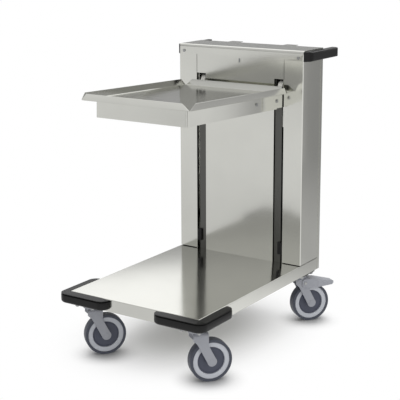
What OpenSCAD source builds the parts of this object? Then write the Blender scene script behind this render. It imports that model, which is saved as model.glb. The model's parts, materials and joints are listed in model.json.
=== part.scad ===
// Mobile tray dispenser: an open trolley with a sprung stacking platform.
// Millimetres, +Z up, trays face -Y, the lifting tower stands at +Y.

/* [Deck] */
// Width of the deck and of the tower
deck_w = 460; // [440:1:520]
// Length of the deck, tower included
deck_l = 710; // [680:1:780]
// Height of the deck surface above the floor
deck_z = 207; // [203:1:240]
// Depth of the folded deck edge
deck_flange = 38; // [30:1:44]
// Thickness of the stainless sheet
sheet_t = 1.5; // [1:0.1:2]
// Outside radius of the folds in the sheet
fold_r = 3; // [2.2:0.1:5]
// Width of each cross member under the deck
cross_w = 84; // [80:1:90]
// Wall of the cross members
cross_wall = 2.5; // [2:0.1:4]

/* [Tower] */
// Depth of the tower from front to back
tower_d = 129; // [127:1:150]
// Height of the tower top above the floor
tower_top = 893; // [880:1:960]
// Radius of the fold between tower front and top
top_fold_r = 9; // [4:0.5:14]
// Width of the two slots that the arms run in
slot_w = 35; // [33:1:40]
// Length of the seam above each slot
seam_l = 61; // [30:1:66]
// Width of that seam
seam_w = 1.5; // [1:0.1:3]
// Depth of the folded edges along the slots
return_d = 10; // [6:0.5:11]
// Width of the folded edges behind the tower
rear_return = 34; // [30:1:40]
// Depth of the rear cover
cover_d = 14; // [8:1:15]
// Distance from the slot edge to an arm
slot_gap = 3; // [2:0.5:5]

/* [Platform] */
// Width of the platform floor, for trays 370 wide
floor_w = 374; // [360:1:384]
// Length of the platform floor, for trays 530 long
floor_l = 530; // [480:1:545]
// Height of the tower above the floor of the empty platform
floor_drop = 129.5; // [120:0.5:140]
// Gap from the floor's rear edge to the tower
floor_gap = 29; // [24:1:36]
// Angle at which the empty platform rises to the front
tilt = 2; // [0:0.1:3]
// Height of the rims
rim_h = 19; // [12:1:30]
// How far the rims lean out
rim_lean = 4; // [1:0.5:8]
// Length cut from each end of a rim's top edge
rim_cut = 21; // [8:1:30]
// Distance from the floor's edge to the skirt
skirt_in = 30; // [26:1:36]
// Depth of the skirt below the floor
skirt_h = 50; // [46:1:54]
// Width of the folded edge under the skirt
skirt_lip = 12; // [6:1:18]

/* [Lift] */
// Height of the end stops above the deck
stop_above = 68.5; // [60:0.5:100]
// Thickness of the arms
arm_t = 3; // [2.5:0.1:4]
// Height of an arm outside the tower
arm_h = 40; // [34:1:42]
// Length of an arm along the skirt
arm_lap = 92; // [70:1:120]
// Diameter of the guide rollers
roller_d = 36; // [30:1:38]
// Width of the guide rollers
roller_w = 16; // [12:0.5:17]
// Distance between the upper and the lower rollers
roller_span = 110; // [90:1:112]
// Play between a roller and its rail
roller_play = 0.5; // [0.3:0.1:1]
// Radius of the roller pins
pin_r = 4; // [3:0.5:5]
// Thickness of the guide rails
rail_t = 2; // [1.5:0.1:3]
// Number of springs on each side
spring_count = 5; // [3:1:5]
// Outside diameter of a spring
spring_d = 16; // [12:1:20]
// Distance between springs
spring_step = 24; // [22:1:25]

/* [Casters] */
// Diameter of the wheels
wheel_d = 125; // [120:1:128]
// Width of the tyre
tyre_w = 30; // [26:1:34]
// Outside radius of the light rim
rim_r = 54.3; // [50:0.1:57]
// Radius of the dark hub disc
hub_r = 40.4; // [30:0.1:45]
// Distance from the swivel axis to the wheel axis
trail = 38.6; // [34:0.1:42]
// Distance from the side edges to the swivel axes
swivel_in = 40.5; // [40:0.5:60]
// Distance from the front edge to the front swivel axes
front_in = 48.5; // [48:0.5:70]
// Distance from the rear edge to the rear swivel axes
rear_in = 64; // [50:0.5:80]
// Angle that the casters stand turned to at rest
swivel_turn = -38.5; // [-60:0.5:0]
// Radius of the wheel axles
axle_r = 5; // [4:0.5:6]
// Radius of the swivel pins
kingpin_r = 6; // [5:0.5:8]
// Thickness of the fork sheet
fork_t = 3; // [2.5:0.1:4]
// Reach of the brake pedals from the swivel axis
pedal_reach = 124; // [118:1:127]

/* [Handles and bumpers] */
// Reach of the push handles behind the tower
handle_reach = 72; // [50:1:100]
// Width of the push handles
handle_w = 19; // [16:1:26]
// Height of the push handles
handle_h = 30; // [24:1:32]
// Thickness of the corner bumpers
bumper_t = 28; // [24:1:32]
// Height of the corner bumpers
bumper_h = 31.5; // [27:0.5:32]
// Length of a bumper's arms along the deck
bumper_l = 147; // [120:1:180]

/* [Hidden] */

$fn = 48;
eps = 0.01;

steel = "#c6c6c1";
dark_steel = "#8d8d88";
black_plastic = "#2b2b2b";
white_plastic = "#ecebe4";
fork_grey = "#94969c";
tyre_blue = "#4a4c58";
rim_grey = "#a6a9ad";

// Tower and slots
half_w = deck_w/2;
slot_above = 38;
fold_relief = 5.5;
tower_y = deck_l/2 - tower_d;
tower_rear = deck_l/2;
case_rear = tower_rear - cover_d;
case_d = tower_d - cover_d;
body_l = deck_l - cover_d;
inner_top = tower_top - sheet_t;
arm_x = floor_w/2 - skirt_in;
slot_out = arm_x + arm_t + slot_gap;
slot_in = slot_out - slot_w;
floor_z = tower_top - floor_drop;
slot_top = floor_z + slot_above;
return_top = slot_top - fold_relief;
seam_top = slot_top + seam_l;
seam_x = slot_out - seam_w;

// Casing screws, tabs and lock
hole_run = 40;
screw_r = 2.5;
screw_head_t = 2;
screw_nut_t = 4;
screw_x = half_w - 18;
screw_z = tower_top - 22;
tab_w = 32;
tab_lap = 8;
strip_gap = 2;
cover_screws = [deck_z + 40, tower_top - 60];
tab_x = 104;
tab_half = 20;
tab_reach = 30;
lock_z = tower_top - 42;
lock_w = 3.5;
lock_h = 12;
lock_depth = 9;

// Platform
floor_rear = tower_y - floor_gap;
lean_angle = atan(rim_lean/rim_h);
rim_skew = sheet_t/cos(lean_angle);
rim_end = 1;
arm_drop = skirt_h - 2;

// Rails and rollers
rail_gap = 3.5;
rail_y = tower_y + sheet_t + rail_gap;
roller_r = roller_d/2;
roller_y = rail_y + rail_t + roller_play + roller_r;
rail_back = roller_y + roller_r + roller_play + rail_t;
carriage_d = 36;
bar_drop = 27;
spring_back = 17;
pull_over = 12;
roller_gap = 5;
roller_out = arm_x - roller_gap;
roller_in = roller_out - roller_w;
rail_in = slot_in + 2;
rail_out = arm_x - 2.5;
relief_w = rail_out - rail_in - rail_t;
roller_hi = floor_z + 12.5;
roller_lo = roller_hi - roller_span;
relief_z = roller_hi + 1;

// Carriage inside the tower
plate_front = rail_y + 1;
plate_back = rail_back + carriage_d;
stop_gap = 0.2;
stop_h = 20;
bar_z = tower_top - bar_drop;
plate_top = bar_z - stop_h - stop_gap;
plate_low = roller_lo - 16;
beam_y = rail_back + 6;
beam_wall = 2;
beam_h = 40;
bar_t = 3;
spring_y = plate_back + spring_back;
pull_back = spring_y + pull_over;
pull_z = plate_low;
pull_t = 3;
pull_h = 40;
spring_x0 = 46;
spring_end = 15;
spring_wall = 2;
spring_l = bar_z - pull_z - pull_t - 2*spring_end;
hook_r = 1.5;
bar_flange = 18;
stop_x = 90;
arm_root = 16;
arm_screw_r = 3;
arm_head_r = 5.5;
arm_head_t = 2.5;
arm_nut_t = 5;
brace_y = -127;
brace_t = 14;
brace_h = 40;
arm_holes = [[-9, -25], [brace_y, -25]];
stop_w = 20;
end_stop_h = 40;
end_stop_w = 16;
end_stop_d = 7;
arm_low_z = floor_z - arm_drop - floor_gap*sin(tilt) - rail_gap;
end_stop_top = deck_z + stop_above;
travel = arm_low_z - end_stop_top;

// Casters
swivel_x = half_w - swivel_in;
wheel_r = wheel_d/2;
plate_z = deck_z - deck_flange - 1;
plate_t = 3.5;
plate_x = 78;
plate_y = 86;
bolt_x = 29;
bolt_y = 32;
bolt_r = 4;
bolt_end = 2.5;
race_r = 30;
race_h = 7.5;
bolt_head = 5.3;
bolt_head_r = 6.5;
bolt_nut = 6.5;
bolt_grip = plate_t + cross_wall;
kingpin_head = 6;
kingpin_nut = 8;
nut_z = plate_z + cross_wall;
race_gap = 0.2;
lower_race_h = 7.3;
fork_top = plate_z - plate_t - race_h - race_gap - lower_race_h;
kingpin_z = fork_top - fork_t;
fork_in = 20;
fork_out = fork_in + fork_t;
fork_front = -17;
fork_back = 28.5;
fork_neck = 19;
fork_end_r = 14;
running = 0.05;
hub_w = 2*fork_in - 0.6;
fork_fold = 10;
lower_race_r = 26;
race_foot_r = 19;
race_foot = 1.5;
race_root = 2.5;
leg_top_y = -5.7;
leg_lean = atan((trail - leg_top_y)/(fork_top - wheel_r));
axle_head_r = 8;
axle_head_t = 1;
boss_r = 12;
disc_half = 9;
rim_half = 13;
tread_r = wheel_r - rim_r;
pedal_t = 2.5;
pedal_side = 1.5;
pedal_gap = 1;
pedal_in = fork_out + pedal_gap;
pedal_out = pedal_in + pedal_side;
pivot_y = 14;
pivot_z = fork_top - 17.5;
pedal_pin_r = 3;
pedal_tip_r = 13;
pedal_root = 30;
pedal_top = fork_top - 3.5;
pedal_tip_z = fork_top - 20.5;
pedal_low = fork_top - 34.5;
pedal_taper_y = 60;
pedal_back = -60;
pedal_run = 200;
pedal_lug = 11;
tip_slope = 10;
tip_drop = 6;
tip_rise = 5;
shoe_y0 = 52;
shoe_y1 = 66;
shoe_low = pivot_z - 1;
shoe_half = 10;
caster_y = [-deck_l/2 + front_in, deck_l/2 - rear_in];
casters = [[-swivel_x, caster_y[0]], [swivel_x, caster_y[0]],
    [-swivel_x, caster_y[1]], [swivel_x, caster_y[1]]];

leg_half = fork_end_r - 0.5;
leg_front = [trail - leg_half*cos(leg_lean), wheel_r - leg_half*sin(leg_lean)];
leg_back = [trail + leg_half*cos(leg_lean), wheel_r + leg_half*sin(leg_lean)];
function crown_z(p, y) = p[1] + (p[0] - y)/tan(leg_lean);
neck_z = fork_top - fork_neck;
neck_y = (crown_z(leg_front, 0) - neck_z - fork_front)/(1/tan(leg_lean) - 1);
knee_y = pedal_reach - tip_slope;
pedal_fall = (pedal_top - pedal_tip_z)/(knee_y - pedal_root);
function under_pedal(y) = pedal_top - pedal_t - pedal_fall*(y - pedal_root);

// Bumpers and handles
bumper_top = deck_z;
bumper_low_r = 8;
bumper_lip = 2;
bumper_fall = 2.5;
bumper_groove = 5;
bumper_line = 4.5;
bumper_lip_z = -bumper_fall - bumper_lip/2;
bumper_shape = [[0, 0], [bumper_t - bumper_lip, -bumper_fall], [bumper_t, bumper_lip_z],
    [bumper_t - bumper_groove, bumper_lip_z - 1],
    [bumper_t - bumper_groove, bumper_lip_z - bumper_line + 1.5],
    [bumper_t, bumper_lip_z - bumper_line], [bumper_t, -bumper_h + bumper_low_r],
    [bumper_t - bumper_low_r, -bumper_h], [0, -bumper_h]];
handle_z = tower_top - 3 - handle_h;
handle_out = half_w + handle_w;
handle_end = tower_rear + handle_reach;
handle_r = 8;
handle_low_r = 5;
handle_tip_r = 11;
sweep_y = tower_y + 38;
sweep_r = ((sweep_y - tower_y - 1)^2 + handle_w^2)/(2*handle_w);
groove_y0 = tower_y + 30;
groove_y1 = tower_y + 112;
groove_w = 7;
groove_t = 3;
handle_mid = handle_z + handle_h/2;
handle_grip = 11;
handle_screws = [tower_y + 50, tower_rear - 22];

// The origin is on the floor at the middle of the footprint
reach_x = swivel_x - (pedal_reach - pedal_tip_r)*sin(swivel_turn) + pedal_tip_r;
reach_y = handle_end;
shift_x = (reach_x - half_w - bumper_t)/2;
shift_y = (reach_y - deck_l/2 - bumper_t)/2;

module place() {
    translate([-shift_x, -shift_y, 0]) children();
}

module on_side(side) {
    place() mirror([side < 0 ? 1 : 0, 0, 0]) children();
}

module on_caster(i) {
    place() translate([casters[i][0], casters[i][1], 0]) rotate([0, 0, swivel_turn]) children();
}

module on_platform() {
    translate([0, floor_rear, floor_z]) rotate([-tilt, 0, 0]) children();
}

// Draws a side view (y, z) and gives it a width along X from x0 to x1
module along_x(x0, x1) {
    translate([x0, 0, 0]) rotate([90, 0, 90]) linear_extrude(x1 - x0) children();
}

// Draws a front view (x, z) and gives it a depth along Y from y0 to y1
module along_y(y0, y1) {
    translate([0, y1, 0]) rotate([90, 0, 0]) linear_extrude(y1 - y0) children();
}

module box(low, high) {
    translate(low) cube(high - low);
}

module round_rect(w, l, r) {
    square([w - 2*r, l], center = true);
    square([w, l - 2*r], center = true);
    for (x = [-1, 1], y = [-1, 1]) translate([x*(w/2 - r), y*(l/2 - r)]) circle(r);
}

// A side view from z0 to z1 whose two top corners are round
module round_top(w, z0, z1, r) {
    translate([-w/2, z0]) square([w, z1 - z0 - r]);
    translate([-w/2 + r, z0]) square([w - 2*r, z1 - z0]);
    for (x = [-1, 1]) translate([x*(w/2 - r), z1 - r]) circle(r);
}

module rod(r, length) {
    rotate([0, 90, 0]) cylinder(r = r, h = length);
}

// Deck and underframe

module deck_panel() {
    low = deck_z - deck_flange;
    color(steel) difference() {
        intersection() {
            translate([0, -cover_d/2, low]) linear_extrude(deck_flange) round_rect(deck_w, body_l, fold_r);
            along_x(-half_w, half_w) translate([-cover_d/2, 0]) round_top(body_l, low, deck_z, fold_r);
            along_y(-deck_l/2, deck_l/2) round_top(deck_w, low, deck_z, fold_r);
        }
        box([-half_w + sheet_t, -deck_l/2 + sheet_t, low - 1],
            [half_w - sheet_t, case_rear - sheet_t, deck_z - sheet_t]);
    }
}

module crossmember(y) {
    length = deck_w - 2*sheet_t;
    color(dark_steel) difference() {
        box([-length/2, y - cross_w/2, plate_z], [length/2, y + cross_w/2, deck_z - sheet_t]);
        box([-length/2 - 1, y - cross_w/2 + cross_wall, plate_z + cross_wall],
            [length/2 + 1, y + cross_w/2 - cross_wall, deck_z - sheet_t - cross_wall]);
        for (x = [-swivel_x, swivel_x]) translate([x, y, plate_z - 1]) {
            cylinder(r = kingpin_r + running, h = cross_wall + 2);
            for (u = [-bolt_x, bolt_x], v = [-bolt_y, bolt_y]) translate([u, v, 0])
                cylinder(r = bolt_r + running, h = cross_wall + 2);
        }
    }
}

// Tower casing

module tower_outline() {
    translate([0, tower_y + case_d/2, deck_z]) linear_extrude(tower_top - deck_z + 1)
        round_rect(deck_w, case_d, fold_r);
}

module top_fold(r) {
    intersection() {
        translate([tower_y + top_fold_r, tower_top - top_fold_r]) circle(r);
        translate([tower_y, tower_top - top_fold_r]) square([top_fold_r, top_fold_r]);
    }
}

module front_panel() {
    color(steel) difference() {
        intersection() {
            front_sheet();
            tower_outline();
        }
        place_lock() linear_extrude(30, center = true) oblong(lock_w + 0.3, lock_h + 0.3);
        for (x = [-screw_x, screw_x]) translate([x, tower_y, screw_z]) screw_hole();
    }
}

module front_sheet() {
    box([-slot_in, tower_y, deck_z], [slot_in, tower_y + sheet_t, slot_top]);
    box([-seam_x, tower_y, slot_top], [seam_x, tower_y + sheet_t, seam_top]);
    for (side = [-1, 1]) mirror([side < 0 ? 1 : 0, 0, 0])
        box([slot_in - sheet_t, tower_y, deck_z], [slot_in, tower_y + return_d, return_top]);
    along_x(-half_w, half_w) {
        translate([tower_y, seam_top]) square([sheet_t, tower_top - top_fold_r - seam_top]);
        difference() {
            top_fold(top_fold_r);
            top_fold(top_fold_r - sheet_t);
        }
        translate([tower_y + top_fold_r, inner_top]) square([case_d - top_fold_r, sheet_t]);
    }
}

module side_outline() {
    translate([tower_y, deck_z + strip_gap]) square([case_d, seam_top - deck_z - strip_gap]);
    translate([tower_y + sheet_t, seam_top]) square([case_d - sheet_t, tower_top - top_fold_r - seam_top]);
    top_fold(top_fold_r - sheet_t);
    translate([tower_y + top_fold_r, tower_top - top_fold_r - eps])
        square([case_d - top_fold_r, top_fold_r - sheet_t + eps]);
}

module side_panel() {
    color(steel) difference() {
        intersection() {
            union() {
                along_x(half_w - sheet_t, half_w) side_outline();
                box([slot_out, tower_y, deck_z + strip_gap], [half_w, tower_y + sheet_t, seam_top]);
                box([slot_out, tower_y, deck_z], [slot_out + sheet_t, tower_y + return_d, return_top]);
                box([half_w - rear_return, case_rear - sheet_t, deck_z], [half_w, case_rear, inner_top]);
                box([half_w - tab_w, tower_y + sheet_t, seam_top - tab_lap],
                    [half_w, tower_y + 2*sheet_t, screw_z + tab_lap]);
            }
            tower_outline();
        }
        translate([screw_x, tower_y, screw_z]) screw_hole();
        for (z = cover_screws) translate([screw_x, case_rear, z]) screw_hole();
        for (y = handle_screws) translate([half_w, y, handle_mid]) rotate([0, 0, 90]) screw_hole();
    }
}

module rear_cover() {
    low = deck_z - deck_flange;
    color(steel) difference() {
        union() {
            box([-half_w, case_rear, low], [half_w, tower_rear, tower_top]);
            for (x = [-tab_x, tab_x]) box([x - tab_half, case_rear, tower_top - sheet_t],
                [x + tab_half, tower_rear + tab_reach, tower_top]);
        }
        box([-half_w + sheet_t, case_rear - 1, low + sheet_t],
            [half_w - sheet_t, tower_rear - sheet_t, inner_top]);
        for (x = [-screw_x, screw_x], z = cover_screws) translate([x, tower_rear, z]) screw_hole();
    }
}

module oblong(w, h) {
    square([w, h - w], center = true);
    for (y = [-1, 1]) translate([0, y*(h - w)/2]) circle(w/2);
}

module place_lock() {
    translate([0, tower_y, lock_z]) rotate([90, 0, 0]) children();
}

module front_lock() {
    color(dark_steel) place_lock() {
        translate([0, 0, -lock_depth]) linear_extrude(lock_depth + 1) oblong(lock_w, lock_h);
        translate([0, 0, 0]) linear_extrude(1) oblong(lock_w + 2, lock_h + 2);
    }
}

module screw_hole() {
    rotate([90, 0, 0]) cylinder(r = screw_r + running, h = hole_run, center = true);
}

// A pan-head screw along -Y with its head on y = 0 and a nut behind the sheets
module screw(grip) {
    rotate([90, 0, 0]) {
        cylinder(r = 2*screw_r, h = screw_head_t);
        translate([0, 0, -grip - screw_nut_t]) cylinder(r = screw_r, h = grip + screw_nut_t);
        translate([0, 0, -grip - screw_nut_t]) cylinder(r = 2*screw_r, h = screw_nut_t);
    }
}

module casing_screws() {
    color(dark_steel) for (side = [-1, 1]) mirror([side < 0 ? 1 : 0, 0, 0]) {
        translate([screw_x, tower_y, screw_z]) screw(2*sheet_t);
        for (z = cover_screws) translate([screw_x, tower_rear, z]) rotate([0, 0, 180]) {
            screw(cover_d + sheet_t);
            translate([0, sheet_t, 0]) rotate([-90, 0, 0]) cylinder(r = 2*screw_r, h = cover_d - sheet_t);
        }
        for (y = handle_screws) translate([half_w - sheet_t, y, handle_mid]) {
            rotate([0, -90, 0]) cylinder(r = 2*screw_r, h = screw_head_t);
            rod(screw_r, sheet_t + handle_grip);
        }
    }
}

// Rails, anchor bar and stops

module guide_rail() {
    color(dark_steel) difference() {
        box([rail_in, rail_y, deck_z], [rail_out, rail_back, bar_z]);
        box([rail_in + rail_t, rail_y + rail_t, deck_z - 1], [rail_out + 1, rail_back - rail_t, bar_z + 1]);
        box([rail_out - relief_w, rail_y - 1, relief_z], [rail_out + 1, rail_y + rail_t + 1, slot_top + 10]);
    }
}

module spring_anchor_bar() {
    color(dark_steel) {
        box([-rail_out, rail_y, bar_z], [rail_out, pull_back, bar_z + bar_t]);
        for (y = [rail_y, pull_back - bar_t])
            box([-rail_out, y, bar_z], [rail_out, y + bar_t, bar_z + bar_flange]);
    }
}

module rubber_stops() {
    color(black_plastic) for (side = [-1, 1]) mirror([side < 0 ? 1 : 0, 0, 0]) {
        box([stop_x, beam_y + 5, bar_z - stop_h], [stop_x + stop_w, beam_y + 5 + stop_w, bar_z]);
        box([slot_out - 1 - end_stop_w, rail_y - end_stop_d, end_stop_top - end_stop_h],
            [slot_out - 1, rail_y, end_stop_top]);
    }
}

// Handles and bumpers

module handle_plan() {
    intersection() {
        translate([handle_out - sweep_r, sweep_y]) circle(sweep_r, $fn = 180);
        translate([half_w, tower_y + 1]) square([handle_w, sweep_y - tower_y - 1]);
    }
    translate([half_w, sweep_y - eps]) square([handle_w, handle_end - handle_w/2 - sweep_y + eps]);
    translate([half_w + handle_w/2, handle_end - handle_w/2]) circle(handle_w/2);
}

module push_handle() {
    color(black_plastic) difference() {
        intersection() {
            translate([0, 0, handle_z]) linear_extrude(handle_h) handle_plan();
            along_y(tower_y - 1, handle_end + 1) handle_section();
            along_x(half_w - 1, handle_out + 1) handle_side();
        }
        translate([half_w + handle_w/2, (groove_y0 + groove_y1)/2, handle_z + handle_h - groove_t])
            linear_extrude(groove_t + 1) oblong(groove_w, groove_y1 - groove_y0);
        for (y = handle_screws) translate([half_w - 1, y, handle_mid])
            rod(screw_r + running, handle_grip + 2);
    }
}

// The handle from the side, with its rear end round
module handle_side() {
    end = handle_end - handle_tip_r;
    translate([tower_y, handle_z]) square([end - tower_y, handle_h]);
    for (z = [handle_tip_r, handle_h - handle_tip_r]) translate([end, handle_z + z]) circle(handle_tip_r);
    translate([end - eps, handle_z + handle_tip_r]) square([handle_tip_r + eps, handle_h - 2*handle_tip_r]);
}

module handle_section() {
    translate([half_w - 1, handle_z]) square([handle_w + 1 - handle_r, handle_h]);
    translate([half_w - 1, handle_z + handle_low_r])
        square([handle_w + 1, handle_h - handle_r - handle_low_r]);
    translate([handle_out - handle_r, handle_z + handle_h - handle_r]) circle(handle_r);
    intersection() {
        translate([handle_out - handle_low_r, handle_z + handle_low_r]) circle(handle_low_r);
        translate([handle_out - handle_r, handle_z]) square([handle_r, handle_h/2]);
    }
    translate([handle_out - handle_r - eps, handle_z])
        square([handle_r - handle_low_r + eps, handle_low_r + eps]);
}

module bumper_profile() {
    polygon(bumper_shape);
    translate([bumper_t - bumper_low_r, -bumper_h + bumper_low_r]) circle(bumper_low_r);
}

// One quarter turn of the bumper's profile, starting at an angle
module bumper_turn(x, y, start) {
    translate([x, y, bumper_top]) rotate([0, 0, start]) rotate_extrude(angle = 90) bumper_profile();
}

// The arms with their rounded ends, and the rounded nose between them
module bumper() {
    front = -deck_l/2;
    end_x = half_w - bumper_l + bumper_t;
    end_y = front + bumper_l - bumper_t;
    color(black_plastic) union() {
        bumper_turn(half_w, front, -90);
        bumper_turn(end_x, front, 180);
        bumper_turn(half_w, end_y, 0);
        translate([half_w, 0, bumper_top]) along_y(front, end_y) bumper_profile();
        translate([0, front, bumper_top]) along_x(end_x, half_w) mirror([1, 0]) bumper_profile();
    }
}

// Caster mountings

module caster_plates() {
    color(dark_steel) for (c = casters) translate([c[0], c[1], 0]) difference() {
        union() {
            translate([0, 0, plate_z - plate_t]) linear_extrude(plate_t) round_rect(plate_x, plate_y, 8);
            translate([0, 0, plate_z - plate_t - race_h]) cylinder(r = race_r, h = race_h);
        }
        translate([0, 0, plate_z - 30]) cylinder(r = kingpin_r + running, h = 40);
        for (x = [-bolt_x, bolt_x], y = [-bolt_y, bolt_y]) translate([x, y, plate_z - 30])
            cylinder(r = bolt_r + running, h = 40);
    }
}

module caster_bolts() {
    color(steel) for (c = casters, x = [-bolt_x, bolt_x], y = [-bolt_y, bolt_y])
        translate([c[0] + x, c[1] + y, 0]) {
            translate([0, 0, plate_z - plate_t - bolt_nut]) cylinder(r = bolt_head_r, h = bolt_nut, $fn = 6);
            translate([0, 0, plate_z - plate_t - bolt_nut - bolt_end])
                cylinder(r = bolt_r, h = bolt_end + bolt_nut + bolt_grip);
            translate([0, 0, plate_z + cross_wall]) cylinder(r = bolt_head_r, h = bolt_head, $fn = 6);
        }
}

module kingpins() {
    color(steel) for (c = casters) translate([c[0], c[1], 0]) {
        translate([0, 0, kingpin_z - 0.15 - kingpin_head]) cylinder(r = 11, h = kingpin_head);
        translate([0, 0, kingpin_z - 1]) cylinder(r = kingpin_r, h = nut_z + kingpin_nut + 2 - kingpin_z);
        translate([0, 0, nut_z]) cylinder(r = 10, h = kingpin_nut, $fn = 6);
    }
}

// Platform

// One rim along X, rising from the floor's edge and leaning towards -Y
module rim(length) {
    end = length/2 - rim_end;
    intersection() {
        along_x(-end, end) polygon([[0.5, -sheet_t], [0.5, 0], [0, 0], [-rim_lean, rim_h],
            [-rim_lean - rim_skew, rim_h], [-rim_skew, 0], [-rim_skew + sheet_t*tan(lean_angle), -sheet_t]]);
        along_y(-60, 60) polygon([[-end, -10], [end, -10], [end, 0],
            [length/2 - rim_cut, rim_h + 1], [-length/2 + rim_cut, rim_h + 1], [-end, 0]]);
    }
}

module platform_tray() {
    color(steel) on_platform() {
        box([-floor_w/2, -floor_l, -sheet_t], [floor_w/2, 0, 0]);
        translate([0, -floor_l, 0]) rim(floor_w);
        rotate([0, 0, 180]) rim(floor_w);
        for (side = [-1, 1]) translate([side*floor_w/2, -floor_l/2, 0]) rotate([0, 0, side*90]) rim(floor_l);
    }
}

module platform_skirt() {
    top = -sheet_t;
    color(steel) on_platform() difference() {
        union() {
            difference() {
                skirt_block(top - skirt_h, top, 0);
                skirt_block(top - skirt_h + sheet_t, top + 1, sheet_t);
                skirt_block(top - skirt_h - 1, top, skirt_lip);
            }
            box([-arm_x + sheet_t, brace_y - brace_t/2, top - brace_h],
                [arm_x - sheet_t, brace_y + brace_t/2, top]);
        }
        for (side = [-1, 1], a = arm_holes) translate([side*arm_x, a[0], a[1]]) translate([-20, 0, 0])
            rod(arm_screw_r + running, 40);
    }
}

module skirt_block(low, high, inset) {
    translate([0, (skirt_in - floor_l)/2, low]) linear_extrude(high - low)
        round_rect(2*(arm_x - inset), floor_l - skirt_in - 2*inset, fold_r);
}

// Arms, carriage and rollers

module lift_arm() {
    color(steel) difference() {
        along_x(arm_x, arm_x + arm_t) difference() {
            union() {
                translate([floor_rear, floor_z]) rotate(-tilt) translate([-arm_lap, -arm_drop])
                    square([arm_lap + floor_gap + arm_root, arm_h]);
                translate([plate_front, plate_low]) square([plate_back - plate_front, plate_top - plate_low]);
            }
            for (z = [roller_hi, roller_lo]) translate([roller_y, z]) circle(pin_r + running);
        }
        on_platform() translate([arm_x - 10, arm_holes[0][0], arm_holes[0][1]])
            rod(arm_screw_r + running, hole_run);
    }
}

module carriage_beam() {
    color(dark_steel) difference() {
        box([-arm_x, beam_y, plate_top - beam_h], [arm_x, plate_back, plate_top]);
        box([-arm_x - 1, beam_y + beam_wall, plate_top - beam_h + beam_wall],
            [arm_x + 1, plate_back - beam_wall, plate_top - beam_wall]);
    }
}

module spring_pull_bar() {
    color(dark_steel) {
        box([-arm_x, beam_y, pull_z], [arm_x, pull_back, pull_z + pull_t]);
        box([-arm_x, beam_y, pull_z], [arm_x, beam_y + pull_t, pull_z + pull_h]);
    }
}

module arm_screws() {
    color(dark_steel) on_platform() for (side = [-1, 1]) mirror([side < 0 ? 1 : 0, 0, 0]) {
        translate([arm_x + arm_t, arm_holes[0][0], arm_holes[0][1]]) {
            rod(arm_head_r, arm_head_t);
            translate([-arm_t - sheet_t - arm_nut_t, 0, 0]) {
                rod(arm_screw_r, arm_t + sheet_t + arm_nut_t);
                rotate([0, 90, 0]) cylinder(r = arm_head_r, h = arm_nut_t, $fn = 6);
            }
        }
        translate([arm_x, arm_holes[1][0], arm_holes[1][1]]) {
            rod(arm_head_r, arm_head_t);
            translate([-16, 0, 0]) rod(arm_screw_r, 16);
        }
    }
}

module roller_pins() {
    color(steel) for (side = [-1, 1], z = [roller_hi, roller_lo]) mirror([side < 0 ? 1 : 0, 0, 0])
        translate([0, roller_y, z]) {
            translate([roller_in - 2.8, 0, 0]) rod(pin_r, arm_x + arm_t - roller_in + 2.8);
            translate([roller_in - 2.8, 0, 0]) rod(pin_r + 2, 2.6);
            translate([roller_out + 0.2, 0, 0]) rod(pin_r + 2, roller_gap - 0.2);
            translate([arm_x + arm_t, 0, 0]) rod(pin_r + 2.5, 2.5);
        }
}

module roller(z) {
    color(white_plastic) translate([roller_in, roller_y, z]) difference() {
        rod(roller_r, roller_w);
        translate([-1, 0, 0]) rod(pin_r + running, roller_w + 2);
    }
}

module lift_springs() {
    color(dark_steel) for (i = [0:spring_count - 1]) translate([spring_x0 + i*spring_step, spring_y, 0]) {
        translate([0, 0, pull_z + pull_t + spring_end]) difference() {
            cylinder(r = spring_d/2, h = spring_l);
            translate([0, 0, spring_wall]) cylinder(r = spring_d/2 - spring_wall, h = spring_l - 2*spring_wall);
        }
        for (z = [pull_z + pull_t, bar_z - spring_end])
            translate([0, 0, z]) cylinder(r = hook_r, h = spring_end);
    }
}

// Casters, drawn with the swivel axis on Z and the wheel axis along X

module fork_side() {
    translate([trail, wheel_r]) circle(fork_end_r);
    polygon([leg_front, [neck_y, crown_z(leg_front, neck_y)], [fork_front, neck_z],
        [fork_front, fork_top], [fork_back, fork_top], [fork_back, crown_z(leg_back, fork_back)], leg_back]);
}

module fork(i, has_pedal) {
    color(fork_grey) on_caster(i) difference() {
        union() {
            intersection() {
                along_x(-fork_out, fork_out) fork_side();
                along_y(fork_front - 1, pedal_run) difference() {
                    round_top(2*fork_out, 0, fork_top, fork_fold);
                    round_top(2*fork_in, -1, fork_top - fork_t, fork_fold - fork_t);
                }
            }
            translate([0, 0, fork_top - race_root]) cylinder(r = race_foot_r, h = race_root + race_foot + eps);
            translate([0, 0, fork_top + race_foot]) cylinder(r = lower_race_r, h = lower_race_h - race_foot);
        }
        translate([0, 0, fork_top - 20]) cylinder(r = kingpin_r + running, h = 60);
        translate([-60, trail, wheel_r]) rod(axle_r + running, 120);
        if (has_pedal) translate([-60, pivot_y, pivot_z]) rod(pedal_pin_r + running, 120);
    }
}

module axle(i) {
    color(steel) on_caster(i) translate([0, trail, wheel_r]) {
        translate([-fork_out, 0, 0]) rod(axle_r, 2*fork_out);
        translate([fork_out, 0, 0]) rod(axle_head_r, axle_head_t);
        translate([-fork_out - axle_head_t, 0, 0]) rod(axle_head_r, axle_head_t);
    }
}

module wheel_disc(r, half) {
    translate([-half, 0, 0]) rod(r, 2*half);
}

module hub(i) {
    color(tyre_blue) on_caster(i) translate([0, trail, wheel_r]) difference() {
        union() {
            wheel_disc(hub_r, disc_half);
            wheel_disc(boss_r, hub_w/2);
        }
        wheel_disc(axle_r + running, 60);
    }
}

module rim_ring(i) {
    color(rim_grey) on_caster(i) translate([0, trail, wheel_r]) difference() {
        wheel_disc(rim_r, rim_half);
        wheel_disc(hub_r, 60);
    }
}

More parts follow.
